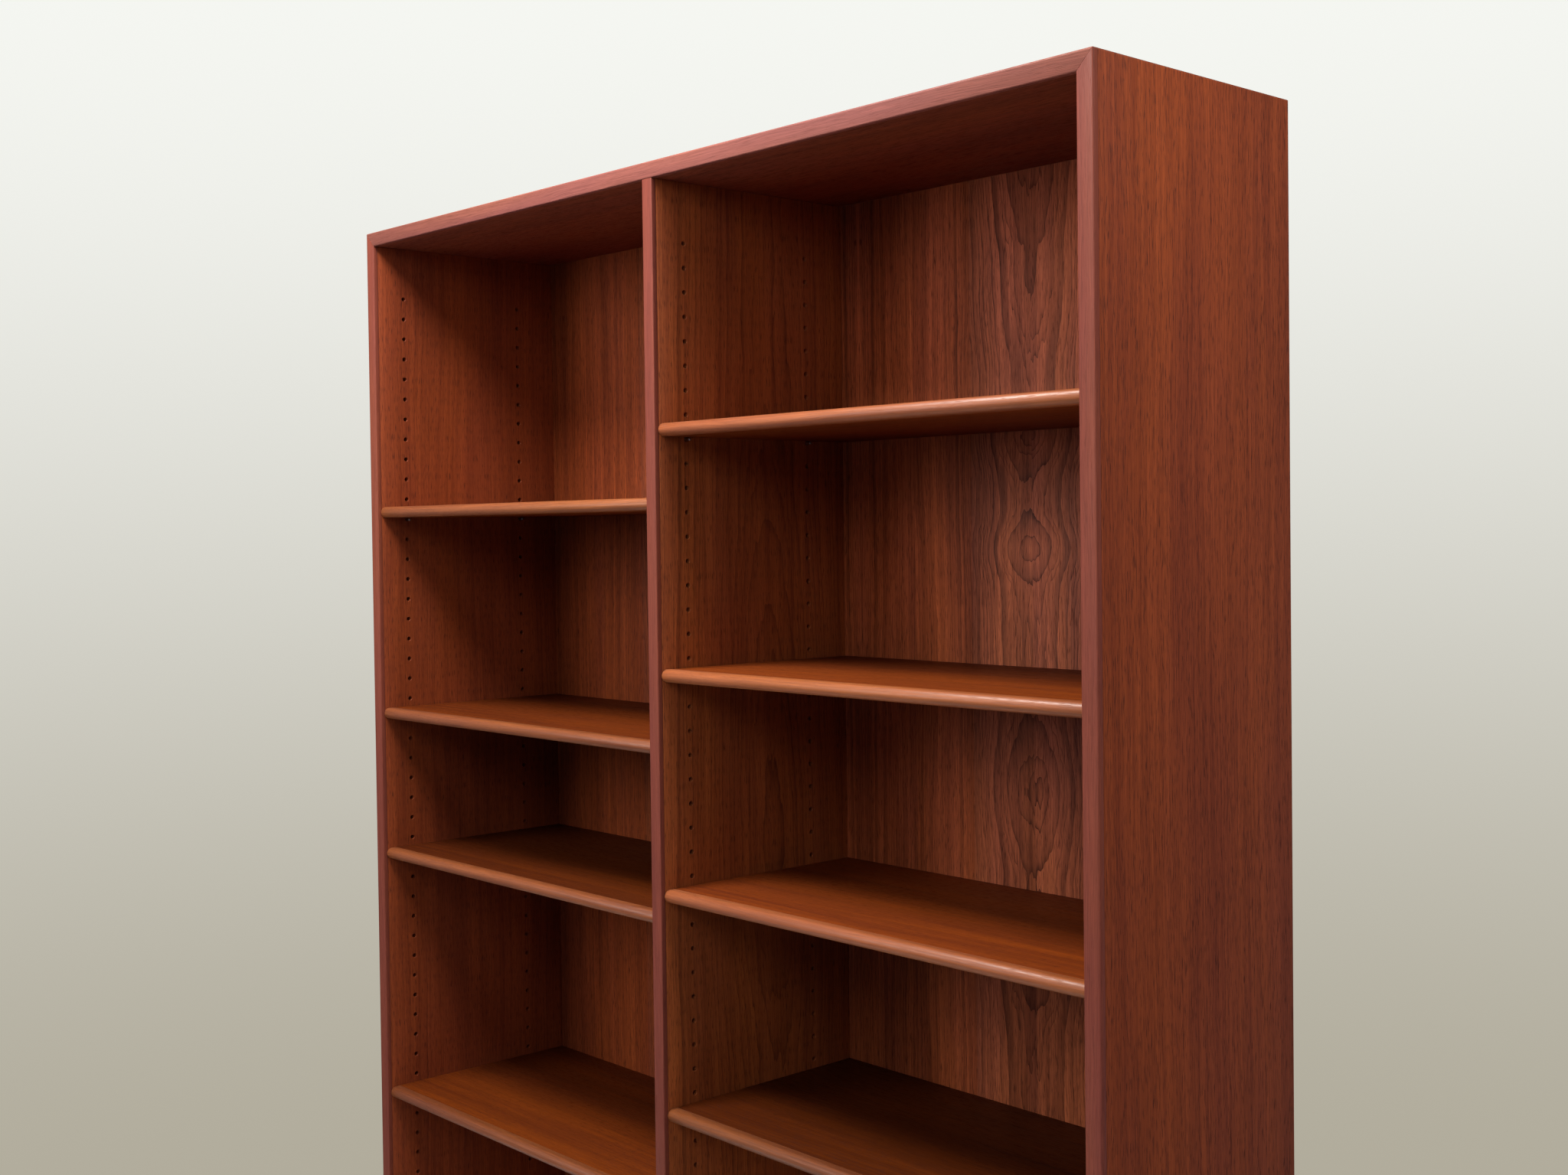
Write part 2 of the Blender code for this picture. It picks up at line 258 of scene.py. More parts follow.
def teak(name, cross, run, seed, pale, dark, spacing=0.007, lines=0.30, figure=None, leaf=None,
         pores=0.6, gloss=0.42, shine=0.14):
    """Oiled teak. cross and run are the axes over and along the grain.

    figure is (middle, profile): where the leaf is cut near the pith, so that its growth lines close
    into flames and ovals. leaf is (middle, width) of leaves that mirror each other.
    """
    made, tree, shader, place = bare_finish(name)
    axes = add(tree, "ShaderNodeSeparateXYZ", {0: place}).outputs
    over, deep, length = axes[cross], axes[3 - cross - run], axes[run]
    if leaf:
        over, deep, outside = mirrored_leaves(tree, over, deep, leaf)

    bend = swing(tree, stretch_noise(tree, over, deep, length, BENDS, seed), BEND_REACH)
    ripple = swing(tree, stretch_noise(tree, over, deep, length, RIPPLES, seed), RIPPLE_REACH)
    wavy = plus(tree, plus(tree, over, bend), ripple)

    apart = wavy
    if figure:
        apart = pith_distance(tree, over, wavy, deep, length, figure, seed)
        if leaf:
            apart = plus(tree, apart, times(tree, minus(tree, wavy, apart), outside))
    uneven = add(
        tree,
        "ShaderNodeTexNoise",
        {"W": plus(tree, apart, seed), "Scale": RING_SCALE, "Detail": 1.0},
        noise_dimensions="1D",
    ).outputs["Fac"]
    rings = plus(tree, work_out(tree, "DIVIDE", apart, spacing), times(tree, uneven, RING_UNEVEN))
    late = work_out(tree, "FRACT", rings)
    patchy = stretch_noise(tree, over, deep, length, PATCHES, seed + 5.0)
    patchy = spread(tree, patchy, *PATCH_SPREAD)
    if figure:
        patchy = work_out(tree, "MAXIMUM", patchy, LEAST_PATCH)
    edge = times(tree, work_out(tree, "POWER", late, RING_EDGE), patchy)
    if leaf:
        edge = times(tree, edge, minus(tree, 1.0, times(tree, outside, OUTER_LINES_LOST)))

    def mark(kind, shift):
        return stretch_noise(tree, wavy, deep, length, kind, seed + shift)

    streak = spread(tree, mark(STREAKS, 0.0), *STREAK_SPREAD)
    thread = spread(tree, mark(THREADS, 1.0), *THREAD_SPREAD)
    broad = spread(tree, mark(BROAD_BANDS, 9.0), *BROAD_SPREAD)
    rosy = spread(tree, mark(ROSY_CLOUDS, 13.0), *ROSY_SPREAD)
    fibre = mark(FIBRES, 0.0)
    pore = spread(tree, mark(PORES, 2.0), *PORE_SPREAD)

    tone = plus(tree, times(tree, streak, STREAK_SHARE), times(tree, broad, BROAD_SHARE))
    tone = plus(tree, tone, times(tree, thread, THREAD_SHARE))
    tone = plus(tree, tone, times(tree, minus(tree, 1.0, late), RING_SHARE))
    colour = blended(tree, tone, dark, pale)
    colour = blended(tree, times(tree, rosy, ROSY_SHARE), colour, ROSY_CAST, "MULTIPLY")
    if leaf:
        cast = times(tree, outside, OUTER_LEAF_SHARE)
        colour = blended(tree, cast, colour, OUTER_LEAF_CAST, "MULTIPLY")
    colour = blended(tree, times(tree, edge, lines), colour, TEAK_LINE)
    colour = blended(tree, times(tree, pore, pores), colour, TEAK_LINE)
    shade = plus(tree, times(tree, fibre, FIBRE_SHADE), DARKEST_FIBRE)
    grey = add(tree, "ShaderNodeCombineXYZ", {0: shade, 1: shade, 2: shade}).outputs[0]
    colour = blended(tree, 1.0, colour, grey, "MULTIPLY")
    tree.links.new(colour, shader.inputs["Base Color"])

    dull = plus(tree, times(tree, pore, PORE_DULL), gloss)
    dull = plus(tree, dull, times(tree, fibre, FIBRE_DULL))
    tree.links.new(dull, shader.inputs["Roughness"])
    relief = minus(tree, times(tree, fibre, FIBRE_RELIEF), pore)
    roughened(tree, shader, relief, 0.25, 0.0003)
    shader.inputs["Specular IOR Level"].default_value = shine
    return made


def raw_wood():
    """Bare teak where a drill has cut through the veneer: pale, dry and woolly."""
    made, tree, shader, place = bare_finish("raw_teak")
    wool = add(tree, "ShaderNodeTexNoise", {"Vector": place, "Scale": 900.0, "Detail": 2.0})
    wool = wool.outputs["Fac"]
    tree.links.new(blended(tree, wool, RAW_DARK, RAW_PALE), shader.inputs["Base Color"])
    roughened(tree, shader, wool, 0.4, 0.0002)
    shader.inputs["Roughness"].default_value = 0.85
    return made


raw_teak = raw_wood()


def as_piece(name, mesh, *finishes):
    """A finished piece from a mesh that already lies in place, shaded smooth where it is round."""
    mesh.name = name
    mesh.materials.clear()
    for finish in finishes:
        mesh.materials.append(finish)
    for polygon in mesh.polygons:
        polygon.use_smooth = True
    mesh.set_sharp_from_angle(angle=SMOOTH_BELOW)
    piece = bpy.data.objects.new(name, mesh)
    bpy.context.scene.collection.objects.link(piece)
    return piece


def evaluated_mesh(thing):
    """The mesh that a thing's modifiers give; the thing itself is then thrown away."""
    bpy.context.view_layer.update()
    seen = thing.evaluated_get(bpy.context.evaluated_depsgraph_get())
    mesh = bpy.data.meshes.new_from_object(seen)
    bpy.data.objects.remove(thing, do_unlink=True)
    return mesh


def facing_out(work):
    bmesh.ops.recalc_face_normals(work, faces=work.faces)
    if work.calc_volume(signed=True) < 0.0:
        bmesh.ops.reverse_faces(work, faces=work.faces)


def milled(outline, low, high, place):
    """A board milled to an outline (a, b) and cut off at low(a) and high(a)."""
    work = bmesh.new()
    sketch = [work.verts.new((a, b, 0.0)) for a, b in outline]
    drawn = bmesh.ops.extrude_face_region(work, geom=[work.faces.new(sketch)])
    far = {item for item in drawn["geom"] if isinstance(item, bmesh.types.BMVert)}
    for vertex in work.verts:
        a, b = vertex.co.x, vertex.co.y
        vertex.co = place(a, b, high(a) if vertex in far else low(a))
    facing_out(work)
    return work


def ease_case_corners(work, cut_axis):
    """Rounds the tips of a mitred board to the soft outer corners of the case."""
    for side in (-1.0, 1.0):
        for level, upward in ((CASE_HIGH, 1.0), (UNDERSIDE, -1.0)):
            centre = Vector((side * (CASE_HALF - CORNER_ROUND), 0.0, level - upward * CORNER_ROUND))
            way = Vector((side, 0.0, 0.0)) if cut_axis == 0 else Vector((0.0, 0.0, upward))
            for step in range(CORNER_STEPS):
                rise = CORNER_ROUND * math.tan(math.radians(45.0) * step / CORNER_STEPS)
                bmesh.ops.bisect_plane(
                    work,
                    geom=work.verts[:] + work.edges[:] + work.faces[:],
                    plane_co=centre + way * rise,
                    plane_no=way,
                )
            for vertex in work.verts:
                out = (vertex.co.x - centre.x) * side
                up = (vertex.co.z - centre.z) * upward
                reach = math.hypot(out, up)
                if out > -HAIR and up > -HAIR and reach > CORNER_ROUND:
                    vertex.co.x = centre.x + side * out * CORNER_ROUND / reach
                    vertex.co.z = centre.z + upward * up * CORNER_ROUND / reach
    bmesh.ops.remove_doubles(work, verts=work.verts, dist=SAME_SPOT)
    bmesh.ops.dissolve_limit(work, angle_limit=FLAT_WITHIN, verts=work.verts, edges=work.edges)


def broken_arrises(work, wide=ARRIS):
    """Takes the sharpness off every edge, as a pass of fine paper does, and gives the mesh."""
    mesh = bpy.data.meshes.new("board")
    work.to_mesh(mesh)
    work.free()
    board = bpy.data.objects.new("board", mesh)
    bpy.context.scene.collection.objects.link(board)
    ease = board.modifiers.new("arris", "BEVEL")
    ease.width = wide
    ease.segments = 2
    ease.limit_method = "ANGLE"
    ease.angle_limit = ARRIS_FROM
    return evaluated_mesh(board)


def panel_section():
    """Outline of a case board, from its outer face inwards and from front to rear."""
    web = SIDE_THICK - REBATE_WIDE
    points = [(0.0, BOARD_FRONT), (SIDE_THICK, BOARD_FRONT), (SIDE_THICK, REBATE_FROM)]
    points += [(web, REBATE_FROM), (web, CASE_REAR)]
    for step in range(REAR_STEPS + 1):
        turn = 0.5 * math.pi * step / REAR_STEPS
        inwards = REAR_ROUND * (1.0 - math.sin(turn))
        forwards = REAR_ROUND * (1.0 - math.cos(turn))
        points.append((inwards, CASE_REAR - forwards))
    return points


def below_top(a):
    return CASE_HIGH - a - MITRE_GAP


def above_bottom(a):
    return UNDERSIDE + a + MITRE_GAP


def node_tree(name, *sizes):
    """An empty Geometry Nodes tree with a named input for each size and a finish at its end."""
    tree = bpy.data.node_groups.new(name, "GeometryNodeTree")
    for label, kind in sizes:
        tree.interface.new_socket(label, in_out="INPUT", socket_type=kind)
    tree.interface.new_socket("Finish", in_out="INPUT", socket_type="NodeSocketMaterial")
    tree.interface.new_socket("Geometry", in_out="OUTPUT", socket_type="NodeSocketGeometry")
    return tree


def end_tree(tree, shape, entry):
    """Every tree ends alike: real geometry, in its finish."""
    real = add(tree, "GeometryNodeRealizeInstances", {0: shape}).outputs[0]
    finished = add(tree, "GeometryNodeSetMaterial", {"Geometry": real, "Material": entry["Finish"]})
    add(tree, "NodeGroupOutput", {0: finished.outputs[0]})


def grown(tree, values):
    """Runs a tree with these values on its named inputs and gives the plain mesh."""
    carrier = bpy.data.objects.new("carrier", bpy.data.meshes.new("carrier"))
    bpy.context.scene.collection.objects.link(carrier)
    grow = carrier.modifiers.new("grow", "NODES")
    grow.node_group = tree
    for item in tree.interface.items_tree:
        if item.in_out == "INPUT":
            grow[item.identifier] = values[item.name]
    return evaluated_mesh(carrier)


def widened_ends(tree, rod, depth, radius, way):
    """Draws both ends of a rod out by a depth and opens (way 1) or closes (way -1) them as much."""
    both = {0: rod.outputs["Top"], 1: rod.outputs["Bottom"]}
    tips = add(tree, "FunctionNodeBooleanMath", both, operation="OR")
    drawn = add(
        tree,
        "GeometryNodeExtrudeMesh",
        {"Mesh": rod.outputs["Mesh"], "Selection": tips.outputs[0], "Offset Scale": depth},
    )
    size = plus(tree, 1.0, times(tree, work_out(tree, "DIVIDE", depth, radius), way))
    shaped = add(
        tree,
        "GeometryNodeScaleElements",
        {"Geometry": drawn.outputs["Mesh"], "Selection": drawn.outputs["Top"], "Scale": size},
    )
    return shaped.outputs[0]


def socket_drill_tree():
    """Two rows of drill bits: one bit, stepped up the pitch, and that row again at the rear."""
    tree = node_tree(
        "socket_drills",
        ("Start", "NodeSocketVector"),
        ("Pitch", "NodeSocketFloat"),
        ("Count", "NodeSocketInt"),
        ("Row Gap", "NodeSocketFloat"),
        ("Width", "NodeSocketFloat"),
        ("Length", "NodeSocketFloat"),
        ("Flare", "NodeSocketFloat"),
    )
    entry = add(tree, "NodeGroupInput").outputs
    climb = add(tree, "ShaderNodeCombineXYZ", {2: entry["Pitch"]}).outputs[0]
    back = add(tree, "ShaderNodeCombineXYZ", {1: entry["Row Gap"]}).outputs[0]
    row = add(tree, "GeometryNodeMeshLine", {"Count": entry["Count"], "Offset": climb}).outputs[0]
    starts = {"Count": 2, "Start Location": entry["Start"], "Offset": back}
    pair = add(tree, "GeometryNodeMeshLine", starts)
    rows = add(tree, "GeometryNodeInstanceOnPoints", {"Points": pair.outputs[0], "Instance": row})
    marks = add(tree, "GeometryNodeRealizeInstances", {0: rows.outputs[0]}).outputs[0]
    radius = times(tree, entry["Width"], 0.5)
    bit = add(
        tree,
        "GeometryNodeMeshCylinder",
        {"Vertices": SOCKET_SIDES, "Radius": radius, "Depth": entry["Length"]},
    )
    flared = widened_ends(tree, bit, entry["Flare"], radius, 1.0)
    drills = add(
        tree,
        "GeometryNodeInstanceOnPoints",
        {"Points": marks, "Instance": flared, "Rotation": (0.0, math.pi / 2.0, 0.0)},
    )
    end_tree(tree, drills.outputs[0], entry)
    return tree


socket_drills = socket_drill_tree()


def bored(board_mesh, middle_x, length, surface):
    """Bores both rows of sockets, a little flared at the face, about middle_x. Their walls are bare."""
    bits = grown(
        socket_drills,
        {
            "Start": (middle_x, ROW_FRONT, LOW_SOCKET),
            "Pitch": SOCKET_PITCH,
            "Count": SOCKET_COUNT,
            "Row Gap": ROW_REAR - ROW_FRONT,
            "Width": SOCKET_WIDE,
            "Length": length - SOCKET_FLARE,
            "Flare": SOCKET_FLARE,
            "Finish": raw_teak,
        },
    )
    board_mesh.materials.clear()
    board_mesh.materials.append(surface)
    drill = bpy.data.objects.new("drill", bits)
    board = bpy.data.objects.new("bored", board_mesh)
    for thing in (drill, board):
        bpy.context.scene.collection.objects.link(thing)
    cut = board.modifiers.new("sockets", "BOOLEAN")
    cut.operation = "DIFFERENCE"
    cut.solver = "EXACT"
    cut.material_mode = "TRANSFER"
    cut.object = drill
    mesh = evaluated_mesh(board)
    bpy.data.objects.remove(drill, do_unlink=True)
    return mesh


def side_board(name, side, seed):
    surface = teak(name + "_teak", 1, 2, seed, SIDE_PALE, SIDE_DARK)
    work = milled(
        panel_section(), above_bottom, below_top, lambda a, b, c: (side * (CASE_HALF - a), b, c)
    )
    ease_case_corners(work, 2)
    middle = side * (CASE_HALF - SIDE_THICK + 0.5 * SOCKET_DEEP)
    mesh = bored(broken_arrises(work), middle, SOCKET_DEEP, surface)
    piece = as_piece(name + "_board", mesh, surface, raw_teak)
    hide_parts(name)
    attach(piece, "case")


side_board("side_left", -1.0, 1.7)
side_board("side_right", 1.0, 4.3)

# ---------------------------------------------------------------------------------------------
# The divider.
# A full-height veneered board between the columns, bored right through so that one socket serves
# both sides, and rebated on each side of its rear edge. It is butted between the top and the bottom.

DIVIDER_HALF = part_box("divider")[1][0]
DIVIDER_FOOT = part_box("divider")[0][2]
DIVIDER_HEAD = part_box("divider")[1][2]
DIVIDER_PALE = (0.440, 0.115, 0.026)
DIVIDER_DARK = (0.170, 0.036, 0.012)
DIVIDER_FIGURE_AT = 0.02
DIVIDER_PITH = ((0.0, 0.05), (0.6, 0.07), (0.95, 0.05), (1.2, 0.058), (1.45, 0.078), (1.9, 0.085))


def divider_section():
    web = DIVIDER_HALF - REBATE_WIDE
    half = [(DIVIDER_HALF, BOARD_FRONT), (DIVIDER_HALF, REBATE_FROM)]
    half += [(web, REBATE_FROM), (web, CASE_REAR)]
    return half + [(-a, b) for a, b in reversed(half)]


def divider_board():
    figure = (DIVIDER_FIGURE_AT, DIVIDER_PITH)
    surface = teak("divider_teak", 1, 2, 8.1, DIVIDER_PALE, DIVIDER_DARK, lines=0.6, figure=figure)
    work = milled(
        divider_section(), lambda a: DIVIDER_FOOT, lambda a: DIVIDER_HEAD, lambda a, b, c: (a, b, c)
    )
    mesh = bored(broken_arrises(work), 0.0, 2.0 * DIVIDER_HALF, surface)
    piece = as_piece("divider_board", mesh, surface, raw_teak)
    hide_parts("divider")
    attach(piece, "case")


divider_board()

# ---------------------------------------------------------------------------------------------
# The top and the bottom.
# Boards of the same make as the sides, with the grain running the length of the case. Both are
# mitred to the sides and rebated at the rear for the backs.

INSIDE_PALE = (0.265, 0.062, 0.024)
INSIDE_DARK = (0.115, 0.025, 0.011)


def inside_left(a):
    return -CASE_HALF + a + MITRE_GAP


def inside_right(a):
    return CASE_HALF - a - MITRE_GAP


def cross_board(name, outer_level, inwards, seed):
    surface = teak(name + "_teak", 1, 0, seed, INSIDE_PALE, INSIDE_DARK)
    work = milled(
        panel_section(), inside_left, inside_right, lambda a, b, c: (c, b, outer_level + inwards * a)
    )
    ease_case_corners(work, 0)
    piece = as_piece(name + "_board", broken_arrises(work), surface)
    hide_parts(name)
    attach(piece, "case")


cross_board("top_panel", CASE_HIGH, -1.0, 12.9)
cross_board("bottom_panel", UNDERSIDE, 1.0, 15.2)

# ---------------------------------------------------------------------------------------------
# The front lippings.
# Strips of solid teak glued over the front edges of the boards. Those of the case are mitred at
# its corners, with the outer edge rounded over and the inner one just eased. The divider's has
# both edges just eased.

LIPPING_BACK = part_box("lipping_top")[1][1]
OUTER_ROUND = 0.003
INNER_ROUND = 0.0015
ROUND_STEPS = 6
LIPPING_ARRIS = 0.00012
LIPPING_PALE = (0.222, 0.055, 0.028)
LIPPING_DARK = (0.155, 0.035, 0.020)
# The top lipping is the same teak as the others, painted paler and pinker: painted light, standing in
# for the brighter light that falls on the top of the case.
TOP_LIPPING_PAINTED_LIGHT_PALE = (0.290, 0.096, 0.064)
TOP_LIPPING_PAINTED_LIGHT_DARK = (0.210, 0.062, 0.041)


def quarter(centre_a, centre_b, radius, start):
    """Quarter round about a centre, from the start angle."""
    turns = [start + 0.5 * math.pi * step / ROUND_STEPS for step in range(ROUND_STEPS + 1)]
    return [(centre_a + radius * math.cos(t), centre_b + radius * math.sin(t)) for t in turns]


def lipping_section(wide, first, second):
    points = quarter(first, CASE_FRONT + first, first, math.pi)
    points += quarter(wide - second, CASE_FRONT + second, second, 1.5 * math.pi)
    return points + [(wide, LIPPING_BACK), (0.0, LIPPING_BACK)]


def lipping(name, run, seed, section, ends, place, cut_axis, pale=LIPPING_PALE, dark=LIPPING_DARK):
    """A strip with its grain along the run axis. ends gives its low and its high end."""
    cross = 0 if run == 2 else 2
    low, high = ends
    surface = teak(name + "_teak", cross, run, seed, pale, dark, 0.003, 0.12, pores=0.14, shine=0.13)
    work = milled(section, low, high, place)
    if cut_axis is not None:
        ease_case_corners(work, cut_axis)
    piece = as_piece(name + "_strip", broken_arrises(work, LIPPING_ARRIS), surface)
    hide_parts(name)
    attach(piece, "case")


case_lip = lipping_section(SIDE_THICK, OUTER_ROUND, INNER_ROUND)
side_ends = (above_bottom, below_top)
cross_ends = (inside_left, inside_right)
lipping("lipping_side_left", 2, 21.0, case_lip, side_ends, lambda a, b, c: (a - CASE_HALF, b, c), 2)
lipping("lipping_side_right", 2, 22.3, case_lip, side_ends, lambda a, b, c: (CASE_HALF - a, b, c), 2)
lipping(
    "lipping_top",
    0,
    26.4,
    case_lip,
    cross_ends,
    lambda a, b, c: (c, b, CASE_HIGH - a),
    0,
    TOP_LIPPING_PAINTED_LIGHT_PALE,
    TOP_LIPPING_PAINTED_LIGHT_DARK,
)
lipping("lipping_bottom", 0, 24.7, case_lip, cross_ends, lambda a, b, c: (c, b, UNDERSIDE + a), 0)

divider_lip = [
    (a - DIVIDER_HALF, b) for a, b in lipping_section(2.0 * DIVIDER_HALF, INNER_ROUND, INNER_ROUND)
]
divider_ends = (lambda a: DIVIDER_FOOT, lambda a: DIVIDER_HEAD)
lipping("lipping_divider", 2, 25.9, divider_lip, divider_ends, lambda a, b, c: (a, b, c), None)

# ---------------------------------------------------------------------------------------------
# The backs.
# One veneered sheet to each column, pinned into the rebate. The veneer stands upright, in leaves
# opened like a book, so that the figure of one leaf is the mirror of the next.

LEAF_WIDE = 0.105
BACK_PALE = (0.610, 0.165, 0.064)
BACK_DARK = (0.120, 0.028, 0.012)
LEFT_BACK_PALE = (0.400, 0.096, 0.030)
LEFT_BACK_DARK = (0.110, 0.023, 0.009)
BACK_PITH = (
    (0.000, 0.080),
    (0.550, 0.074),
    (0.780, 0.068),
    (0.870, 0.055),
    (0.940, 0.064),
    (0.990, 0.062),
    (1.080, 0.048),
    (1.157, 0.061),
    (1.240, 0.070),
    (1.350, 0.065),
    (1.394, 0.052),
    (1.435, 0.064),
    (1.490, 0.062),
    (1.545, 0.046),
    (1.578, 0.073),
    (1.720, 0.0645),
    (1.790, 0.0620),
    (1.900, 0.0490),
)


def square_board(low, high):
    """A plain square-edged board that fills a box."""
    section = [(low[0], low[1]), (high[0], low[1]), (high[0], high[1]), (low[0], high[1])]
    return milled(section, lambda a: low[2], lambda a: high[2], lambda a, b, c: (a, b, c))


def back_sheet(name, seed, figure, pale, dark):
    low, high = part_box(name)
    middle = (low[0] + high[0]) / 2.0
    surface = teak(
        name + "_teak",
        0,
        2,
        seed,
        pale,
        dark,
        spacing=0.0060,
        lines=0.95,
        figure=figure,
        shine=0.10,
        leaf=(middle, LEAF_WIDE),
    )
    piece = as_piece(name + "_sheet", broken_arrises(square_board(low, high)), surface)
    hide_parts(name)
    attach(piece, "case")


back_sheet("back_left", 31.0, None, LEFT_BACK_PALE, LEFT_BACK_DARK)
back_sheet("back_right", 33.5, (0.0, BACK_PITH), BACK_PALE, BACK_DARK)

# ---------------------------------------------------------------------------------------------
# The plinth.
# A frame of dark stained boards, butted and screwed together. It is set back under the case, which
# it carries clear of the floor.

PLINTH_ARRIS = 0.001
PLINTH_PALE = (0.120, 0.040, 0.018)
PLINTH_DARK = (0.050, 0.016, 0.008)


def plinth_board(name, run, seed):
    low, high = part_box(name)
    surface = teak(name + "_wood", 2, run, seed, PLINTH_PALE, PLINTH_DARK, 0.004, gloss=0.50)
    work = square_board(low, high)
    piece = as_piece(name + "_board", broken_arrises(work, PLINTH_ARRIS), surface)
    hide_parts(name)
    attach(piece, "case")


plinth_board("plinth_front", 0, 41.0)
plinth_board("plinth_rear", 0, 42.0)
plinth_board("plinth_left", 1, 43.0)
plinth_board("plinth_right", 1, 44.0)

# ---------------------------------------------------------------------------------------------
# The shelves.
# Veneered boards, each with a half-round nose of solid teak glued along its front edge, lying loose
# on four pins. They come from different logs, so some are darker than others. The lowest shelves
# and their noses are also painted darker, as painted shade under the shelves above, and the first
# right nose is painted a little lighter, as painted light.

NOSE_DEEP = 0.016
NOSE_STEPS = 20
GLUE_LINE = 0.0001
SHELF_ARRIS = 0.0003
SEED_STEP = 1.3
NOSE_SEED = 0.5
SHELF_PALE = (0.250, 0.049, 0.0045)
SHELF_DARK = (0.090, 0.015, 0.004)
NOSE_PALE = (0.440, 0.130, 0.033)
NOSE_DARK = (0.190, 0.046, 0.014)
COLUMNS = (("left", 50.0), ("right", 60.0))
# Tones of each column's shelves and noses, first to last: partly their own tone, partly painted shade
# that darkens the lowest ones, and painted light on the first right nose.
BOARD_TONES_AND_SHADE = {"left": (1.00, 0.80, 0.50, 0.80), "right": (1.00, 0.95, 1.05, 0.40)}
NOSE_TONES_AND_SHADE = {"left": (0.76, 0.80, 0.80, 0.68), "right": (1.04, 0.98, 0.98, 0.55)}


def toned(colour, tone):
    return tuple(tone * part for part in colour)


def along_shelf(name):
    low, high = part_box(name)
    return (lambda a: low[0]), (lambda a: high[0])


def shelf_board(name, seed, tone):
    low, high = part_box(name)
    front = low[1] + NOSE_DEEP + GLUE_LINE
    section = [(front, low[2]), (high[1], low[2]), (high[1], high[2]), (front, high[2])]
    pale, dark = toned(SHELF_PALE, tone), toned(SHELF_DARK, tone)
    surface = teak(name + "_teak", 1, 0, seed, pale, dark, lines=0.2, pores=0.35, shine=0.09)
    work = milled(section, *along_shelf(name), lambda a, b, c: (c, a, b))
    piece = as_piece(name + "_board", broken_arrises(work, SHELF_ARRIS), surface)
    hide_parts(name)
    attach(piece, name)


def shelf_nose(name, seed, tone):
    low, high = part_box(name)
    radius = (high[2] - low[2]) / 2.0
    centre = (low[1] + radius, low[2] + radius)
    section = []
    for step in range(NOSE_STEPS + 1):
        turn = 0.5 * math.pi + math.pi * step / NOSE_STEPS
        section.append((centre[0] + radius * math.cos(turn), centre[1] + radius * math.sin(turn)))
    section += [(low[1] + NOSE_DEEP, low[2]), (low[1] + NOSE_DEEP, high[2])]
    pale, dark = toned(NOSE_PALE, tone), toned(NOSE_DARK, tone)
    surface = teak(
        name + "_nose_teak", 2, 0, seed, pale, dark, 0.003, 0.10, pores=0.12, gloss=0.36, shine=0.44
    )
    work = milled(section, *along_shelf(name), lambda a, b, c: (c, a, b))
    piece = as_piece(name + "_nose", broken_arrises(work, SHELF_ARRIS), surface)
    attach(piece, name)


for column, seed in COLUMNS:
    # The tones carry painted shade on the lowest shelves as well as each shelf's own tone.
    for order, (board_tone_and_shade, nose_tone_and_shade) in enumerate(zip(BOARD_TONES_AND_SHADE[column], NOSE_TONES_AND_SHADE[column]), 1):
        shelf_seed = seed + SEED_STEP * order
        shelf_board(f"shelf_{column}_{order}", shelf_seed, board_tone_and_shade)
        shelf_nose(f"shelf_{column}_{order}", shelf_seed + NOSE_SEED, nose_tone_and_shade)

# ---------------------------------------------------------------------------------------------
# The shelf pins.
# Plain steel rods with both ends eased, pushed by hand halfway into the sockets. Four carry each
# shelf, and they pull out to move it up or down.

PIN_SIDES = 24
PIN_EASE = 0.0006
PIN_RADIUS = 0.0024
STEEL_DARK = (0.30, 0.28, 0.26)
STEEL_PALE = (0.62, 0.60, 0.57)
DRAWN_MARKS = (2600.0, 0.04, 2.0)
DULL_CLOUDS = (260.0, 1.0, 2.0)


def shelf_pin_tree():
    """Four pins of one shelf: one rod at the front and the rear of each end of the bay."""
    tree = node_tree(
        "shelf_pins",
        ("First", "NodeSocketVector"),
        ("Row Gap", "NodeSocketFloat"),
        ("Bay Width", "NodeSocketFloat"),
        ("Radius", "NodeSocketFloat"),
        ("Length", "NodeSocketFloat"),
        ("Ease", "NodeSocketFloat"),
    )
    entry = add(tree, "NodeGroupInput").outputs
    back = add(tree, "ShaderNodeCombineXYZ", {1: entry["Row Gap"]}).outputs[0]
    over = add(tree, "ShaderNodeCombineXYZ", {0: entry["Bay Width"]}).outputs[0]
    row = add(tree, "GeometryNodeMeshLine", {"Count": 2, "Offset": back}).outputs[0]
    starts = {"Count": 2, "Start Location": entry["First"], "Offset": over}
    ends = add(tree, "GeometryNodeMeshLine", starts)
    rows = add(tree, "GeometryNodeInstanceOnPoints", {"Points": ends.outputs[0], "Instance": row})
    marks = add(tree, "GeometryNodeRealizeInstances", {0: rows.outputs[0]}).outputs[0]
    barrel = minus(tree, entry["Length"], times(tree, entry["Ease"], 2.0))
    rod = add(
        tree,
        "GeometryNodeMeshCylinder",
        {"Vertices": PIN_SIDES, "Radius": entry["Radius"], "Depth": barrel},
    )
    tip = widened_ends(tree, rod, entry["Ease"], entry["Radius"], -1.0)
    pins = add(
        tree,
        "GeometryNodeInstanceOnPoints",
        {"Points": marks, "Instance": tip, "Rotation": (0.0, math.pi / 2.0, 0.0)},
    )
    end_tree(tree, pins.outputs[0], entry)
    return tree


